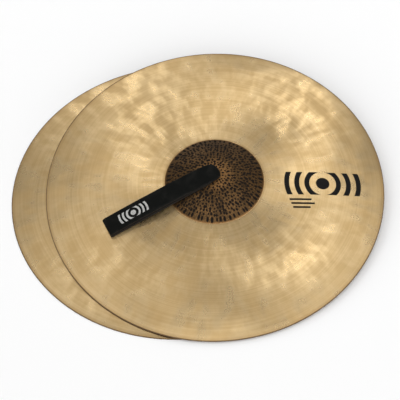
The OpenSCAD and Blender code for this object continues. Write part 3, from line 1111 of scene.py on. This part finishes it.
@dataclass
class Strap:
    """A hand strap: one band that rises from the knot, bends over, runs out, folds and comes back."""

    which: Which
    leather: bpy.types.Material
    width: float = 27 * MM
    thickness: float = 2.4 * MM
    neck_half: float = 5.4 * MM
    neck_x: float = 4.3 * MM
    lip_x: float = 6.5 * MM
    lip_drop: float = 3.2 * MM
    lip_deg: float = 215
    widening: float = 24 * MM
    droop: float = 1.8 * MM
    bend_r: float = 3.8 * MM
    layer_gap: float = 2.5 * MM
    knot_z: float = 35.5 * MM
    air: float = 0.4 * MM
    fold_r: float = 2.95 * MM
    open_fold_r: float = 10.38 * MM
    spring: float = 2.2 * MM
    length: float = 159 * MM
    step: float = 0.8 * MM
    mark_at: float = 119 * MM

    def __post_init__(self) -> None:
        """Finds where the strap lies, and its bend's centre and its fold, from the frame."""
        word = self.which.value
        self.seat = strap_seat(self.which)
        pivot = self.seat.own(JOINTS[f"{word}_strap_raise"]["pos_m"])
        self.bend_x = pivot[0]
        self.bend_z = pivot[2]
        low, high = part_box(f"{word}_cymbal")
        self.profile = Profile(rim_r=(high.x - low.x) / 2)

    def turn_centre(self) -> tuple[float, float]:
        """Middle of the two concentric arcs in which both layers bend over."""
        return self.bend_r - self.layer_gap / 2, self.bend_z + self.layer_gap / 2 - self.bend_r

    def fold_circle(self) -> tuple[tuple[float, float], float]:
        """Middle and radius of the leather's middle line in its far fold.

        The front strap's fold lies flat on its plate. The rear strap's loop has sprung open, so that its
        fold is wider. Both lie on the plate with a little air under them.

        Returns:
            The middle, as distance along the strap and height, and the radius.
        """
        if self.which is Which.FRONT:
            outer = self.fold_r + self.thickness / 2
            x = self.length - outer
            return (x, float(self.profile.top(np.array(x))) + self.air + outer), self.fold_r
        outer = self.open_fold_r
        x = self.length - outer
        middle = float(self.profile.top(np.array(x))) + self.air + outer
        return (x, middle), outer - self.thickness / 2

    def sprung(self, start: np.ndarray, fold: tuple[float, float], fold_r: float, angle: float) -> np.ndarray:
        """The upper layer's run from bend to fold: a straight line, raised by a parabola.

        Args:
            start: where the bend ends, as distance along the strap and height.
            fold: middle of the fold.
            fold_r: radius of the fold.
            angle: where the run meets the fold, in degrees.

        Returns:
            Points of the run, n by 2.
        """
        turn = math.radians(angle)
        end = np.array(fold) + fold_r * np.array([math.cos(turn), math.sin(turn)])
        share = np.linspace(0.04, 0.96, 60)[:, None]
        run = start + share * (end - start)
        return run + np.array([0.0, self.spring]) * 4 * share * (1 - share)

    def side_path(self) -> np.ndarray:
        """The strap's middle line in its side view, from the knot out along the upper layer and back.

        The upper layer leaves the bend's outer arc at the angle of the line that touches both it and the
        fold. The front strap is gathered in the hole, so its bend is an oval that bulges over the hole's
        edge, its upper layer is sprung up a little, and its lower layer is straight. The rear strap's
        lower layer follows the plate under it.

        Returns:
            Evenly spaced points, n by 2.
        """
        turn, (fold, fold_r) = self.turn_centre(), self.fold_circle()
        inner_r = self.bend_r - self.layer_gap
        slope = math.degrees(math.atan2(fold[1] - turn[1], fold[0] - turn[0]))
        lean = math.degrees(math.asin((self.bend_r - fold_r) / math.dist(turn, fold)))
        upper = 90 + slope - lean
        up = np.array([[-self.layer_gap / 2, self.knot_z], [-self.layer_gap / 2, turn[1]]])
        out = arc(turn, self.bend_r, 180, upper, self.step / 3)
        if self.which is Which.FRONT:
            up = np.array([[-self.neck_x, self.knot_z], [-self.neck_x, turn[1] - self.lip_drop]])
            out = arc((0.0, 0.0), 1.0, self.lip_deg, upper, 0.15) * np.array([self.lip_x, self.bend_r])
            out[:, 1] += turn[1]
            out = np.concatenate([out, self.sprung(out[-1], fold, fold_r, upper)])
            lean = math.degrees(math.asin((inner_r + fold_r) / math.dist(turn, fold)))
            under = np.empty((0, 2))
            leave, arrive = -90 + slope - lean, 90 + slope - lean
        else:
            run = np.linspace(fold[0] - 3 * MM, 8 * MM, 160)
            under = np.stack([run, self.profile.top(run) + self.air + self.thickness / 2], -1)
            leave, arrive = -97, 88
        far = arc(fold, fold_r, upper, leave, self.step / 3)
        back = arc(turn, inner_r, arrive, 180, self.step / 3)
        down = np.array([[self.layer_gap / 2, turn[1]], [self.layer_gap / 2, self.knot_z]])
        return even_path(np.concatenate([up, out, far, under, back, down]), self.step, 1.1 * MM)

    def build(self) -> bpy.types.Object:
        """Builds the strap.

        The half width grows from the neck's to the full one along a quarter of an ellipse, which starts
        just under the bend. Where the leather is gathered there, its edges droop along a bell curve.

        Returns:
            The finished piece.
        """
        word = self.which.value
        side = self.side_path()
        run = np.arange(len(side)) * self.step
        risen = float(self.profile.top(np.array(0.0))) - self.knot_z
        out = np.minimum(run, run[-1] - run) - risen
        share = np.clip((out + 1 * MM) / self.widening, 0, 1)
        half_width = np.maximum(self.neck_half, self.width / 2 * np.sqrt(1 - (1 - share) ** 2))
        crown = self.droop * np.exp(-((out - 8 * MM) / (11 * MM)) ** 2)
        crown *= np.where(run < run[-1] / 2, 1, -0.6)
        heading = np.gradient(side, axis=0)
        heading /= np.linalg.norm(heading, axis=1)[:, None]
        level = np.zeros(len(side))
        path = np.stack([side[:, 0], level, side[:, 1]], -1)
        outward = np.stack([-heading[:, 1], level, heading[:, 0]], -1)
        across = np.stack([level, level + 1, level], -1)
        mark = self.mark_at if self.which is Which.FRONT else None
        piece = Band(self.thickness).build(f"{word}_leather_strap", self.seat, path, outward, across,
                                           half_width, crown, mark)
        piece.data.materials.append(self.leather)
        start = self.seat.place(np.array([0.0, 0.0, self.bend_z - 4 * MM]))
        end = self.seat.place(np.array([self.bend_x + 6 * MM, 0.0, self.bend_z + 2 * MM]))
        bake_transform(piece)
        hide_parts(f"{word}_strap_neck", f"{word}_strap_loop")
        return piece


@dataclass
class Knot:
    """The crown knot inside a bell: a bunched core, and four tails that each pass under the next."""

    which: Which
    leather: bpy.types.Material
    core_half: float = 5.9 * MM
    core_low: float = 33.6 * MM
    core_high: float = 42.5 * MM
    tail_half: float = 5.4 * MM
    tail_middle: float = 8.2 * MM
    tail_reach: float = 26 * MM
    high_z: float = 37.4 * MM
    low_z: float = 34.0 * MM
    thickness: float = 2.3 * MM

    def tail_path(self) -> np.ndarray:
        """Side view of a tail: out of the core, a tight fold back, down past the core, and out.

        Returns:
            Points as distance along the tail and height, evenly spaced.
        """
        fold_r = 1.5 * MM
        fold = (-12.5 * MM, self.high_z + fold_r)
        start = np.array([[-2 * MM, self.high_z + 2 * fold_r], [fold[0], self.high_z + 2 * fold_r]])
        bent = arc(fold, fold_r, 90, 270, 0.3 * MM)
        along = np.array([[-3.4 * MM, self.high_z], [3.2 * MM, self.low_z], [15 * MM, self.low_z],
                          [self.tail_reach, self.low_z + 1.8 * MM]])
        return even_path(np.concatenate([start, bent, along]), 0.5 * MM, 0.8 * MM)

    def tail(self, number: int) -> bpy.types.Object:
        """Builds one tail, laid along one side of the core and turned a quarter for each number.

        Args:
            number: from 1 to 4, as its node is numbered.

        Returns:
            The finished piece, riding on the knot.
        """
        word = self.which.value
        seat = strap_seat(self.which)
        angle = number * TURN / 4
        quarter = np.array([[math.cos(angle), math.sin(angle), 0], [-math.sin(angle), math.cos(angle), 0],
                            [0, 0, 1]])
        seat = Seat(seat.origin, quarter @ seat.turn)
        side = self.tail_path()
        heading = np.gradient(side, axis=0)
        heading /= np.linalg.norm(heading, axis=1)[:, None]
        level = np.zeros(len(side))
        tip = smooth_step(side[:, 0], self.tail_reach - 12 * MM, self.tail_reach)
        path = np.stack([side[:, 0], level + self.tail_middle + 2.0 * MM * tip, side[:, 1]], -1)
        outward = np.stack([heading[:, 1], level, -heading[:, 0]], -1)
        across = np.stack([level, level - 1, level], -1)
        half_width = self.tail_half - 0.5 * MM * tip
        crown = 0.35 * MM * (1 - tip)
        piece = Band(self.thickness, flat_points=13).build(
            f"{word}_leather_tail_{number}", seat, path, outward, across, half_width, crown)
        piece.data.materials.append(self.leather)
        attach(piece, f"{word}_knot")
        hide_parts(f"{word}_knot_tail_{number}")
        return piece

    def core(self) -> bpy.types.Object:
        """Builds the bunched leather that the tails leave: a square pillow with creases down its sides.

        Its plan is a superellipse of power 4, with ten shallow folds round it. Its half size is the
        core's, drawn in near both ends as the fourth root of 1 - height share ^ 4.

        Returns:
            The finished piece, riding on the knot.
        """
        word = self.which.value
        around, rows = 96, 25
        share = np.sin(np.linspace(-1, 1, rows) * math.pi / 2)[:, None] * 0.999
        turn = (np.arange(around) * TURN / around)[None, :]
        square = (np.abs(np.cos(turn)) ** 4 + np.abs(np.sin(turn)) ** 4) ** -0.25
        folds = 1 + 0.035 * np.cos(10 * turn + 0.8 * share)
        size = self.core_half * (1 - share**4) ** 0.25 * square * folds
        height = (self.core_low + self.core_high) / 2 + share * (self.core_high - self.core_low) / 2
        own = np.stack([size * np.cos(turn), size * np.sin(turn), height + 0 * turn], -1).reshape(-1, 3)
        ends = [np.arange(around)[None, ::-1], np.arange(around)[None, :] + (rows - 1) * around]
        faces = [band_quads(0, rows, around)[:, ::-1], *ends]
        piece = make_piece(f"{word}_leather_core", strap_seat(self.which).place(own), faces)
        layer = piece.data.uv_layers.new(name=STRAP_MAP)
        flat_map = np.stack([own[:, 2], np.tile(turn[0] * self.core_half, rows)], -1)
        corners = np.concatenate([block.ravel() for block in faces])
        layer.uv.foreach_set("vector", flat_map[corners].astype(np.float32).ravel())
        set_attribute(piece, "outside", np.ones(len(own)))
        set_attribute(piece, "rubbed", 0.5 + 0.5 * np.cos(10 * np.tile(turn[0], rows)))
        set_attribute(piece, "mark_place", np.full((len(own), 3), 1.0))
        piece.data.materials.append(self.leather)
        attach(piece, f"{word}_knot")
        return piece


# ---- Studio ----------------------------------------------------------------------------------


@dataclass(frozen=True)
class Lamp:
    """One soft light: degrees from the far side towards the right, degrees up, size, and brightness."""

    name: str
    bearing: float
    rise: float
    width: float
    height: float
    brightness: float


@dataclass
class Studio:
    """The pale floor, the soft lights and the camera.

    Turned bronze shows each light as a bright sector, so the lights are narrow and stand where the
    sectors ask for them. Brightness is that of a light's face, where the near wall is about 1.4.
    """

    aim: tuple[float, float, float] = (3.72 * MM, -3.93 * MM, 0.0)
    distance: float = 2.6
    height_deg: float = 54.43
    roll_deg: float = -2.89
    lens: float = 172.07
    light_distance: float = 2.6
    floor_half: float = 6.0
    floor_colour: RGBA = (0.96, 0.96, 0.96, 1)
    far_sky: float = 0.37
    near_sky: float = 1.36
    lamps: tuple[Lamp, ...] = (
        Lamp("far_left", -13, 40, 0.36, 1.3, 2.8),
        Lamp("far_low", -18, 22, 0.4, 0.6, 1.6),
        Lamp("far_right", 22, 40, 0.3, 0.7, 4.8),
        Lamp("left_high", -60, 66, 0.4, 0.8, 1.3),
        Lamp("left_near", -100, 58, 0.5, 0.8, 1.8),
        Lamp("near_low", -164, 66, 0.4, 0.8, 3.2),
        Lamp("right_near", 112, 60, 0.45, 0.8, 4.4),
        Lamp("right_high", 62, 68, 0.4, 0.8, 2.6),
    )

    def camera(self) -> bpy.types.Object:
        """Makes the camera, which looks along +y and down, rolled a little."""
        data = bpy.data.cameras.new("camera")
        data.lens = self.lens
        data.sensor_width = 36.0
        camera = bpy.data.objects.new("camera", data)
        bpy.context.scene.collection.objects.link(camera)
        height, roll = math.radians(self.height_deg), math.radians(self.roll_deg)
        back = np.array([0.0, -math.cos(height), math.sin(height)])
        right = np.array([1.0, 0.0, 0.0])
        up = np.cross(back, right)
        rolled_right = math.cos(roll) * right + math.sin(roll) * up
        rolled_up = math.cos(roll) * up - math.sin(roll) * right
        matrix = np.eye(4)
        matrix[:3, :3] = np.stack([rolled_right, rolled_up, back], -1)
        matrix[:3, 3] = np.array(self.aim) + back * self.distance
        camera.matrix_world = Matrix(matrix.tolist())
        data.clip_end = 50
        bpy.context.scene.camera = camera
        return camera

    def light(self, lamp: Lamp) -> bpy.types.Object:
        """Makes a soft rectangular light that faces the middle of the floor.

        Its power is its brightness times pi times its area, so that its face looks that bright.

        Args:
            lamp: where it stands, its size and its brightness.

        Returns:
            The light.
        """
        data = bpy.data.lights.new(lamp.name, "AREA")
        data.shape = "RECTANGLE"
        data.size, data.size_y = lamp.width, lamp.height
        data.energy = lamp.brightness * math.pi * lamp.width * lamp.height
        light = bpy.data.objects.new(lamp.name, data)
        bpy.context.scene.collection.objects.link(light)
        turn, lift = math.radians(lamp.bearing), math.radians(lamp.rise)
        back = np.array([math.sin(turn) * math.cos(lift), math.cos(turn) * math.cos(lift), math.sin(lift)])
        side = unit(np.cross([0.0, 0.0, 1.0], back))
        matrix = np.eye(4)
        matrix[:3, :3] = np.stack([side, np.cross(back, side), back], -1)
        matrix[:3, 3] = back * self.light_distance
        light.matrix_world = Matrix(matrix.tolist())
        return light

    def floor(self) -> bpy.types.Object:
        """Makes the floor, a hair under the rim that rests on it."""
        half, drop = self.floor_half, -0.1 * MM
        corners = np.array([[-half, -half, drop], [half, -half, drop],
                            [half, half, drop], [-half, half, drop]])
        piece = make_piece("floor", corners, [np.array([[0, 1, 2, 3]])])
        material, _, shader = new_material("floor_paint")
        shader.inputs["Base Color"].default_value = self.floor_colour
        shader.inputs["Roughness"].default_value = 0.9
        piece.data.materials.append(material)
        return piece

    def surround(self) -> None:
        """Makes the white walls round the studio, darker on the far side than on the near one."""
        world = bpy.data.worlds.new("studio")
        world.use_nodes = True
        bench = Bench(world.node_tree)
        split = bench.add("ShaderNodeSeparateXYZ")
        bench.feed(split.inputs[0], bench.add("ShaderNodeTexCoord").outputs["Generated"])
        background = world.node_tree.nodes["Background"]
        background.inputs["Color"].default_value = (1, 1, 1, 1)
        level = bench.ease(split.outputs["Y"], -0.4, 0.1, self.near_sky, self.far_sky)
        bench.feed(background.inputs["Strength"], level)
        bpy.context.scene.world = world

    def build(self) -> None:
        """Builds the whole studio."""
        self.camera()
        self.floor()
        self.surround()
        for lamp in self.lamps:
            self.light(lamp)
        bpy.context.scene.view_settings.view_transform = "Standard"


def main() -> None:
    """Builds the pair piece by piece."""
    logging.basicConfig(level=logging.INFO, format="%(name)s: %(message)s")
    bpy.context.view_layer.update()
    effects = Effects()
    leather = BlackLeather().material("black_leather", effects)
    Studio().build()
    pieces = []
    for which in Which:
        pieces.append(Plate(which, 11 if which is Which.REAR else 23, effects, which is Which.FRONT).build())
        pieces.append(Strap(which, leather).build())
        knot = Knot(which, leather)
        pieces.append(knot.core())
        pieces.extend(knot.tail(number) for number in range(1, 5))
    for piece in pieces:
        log.info("%s: %d faces", piece.name, len(piece.data.polygons))


if __name__ == "__main__":
    main()
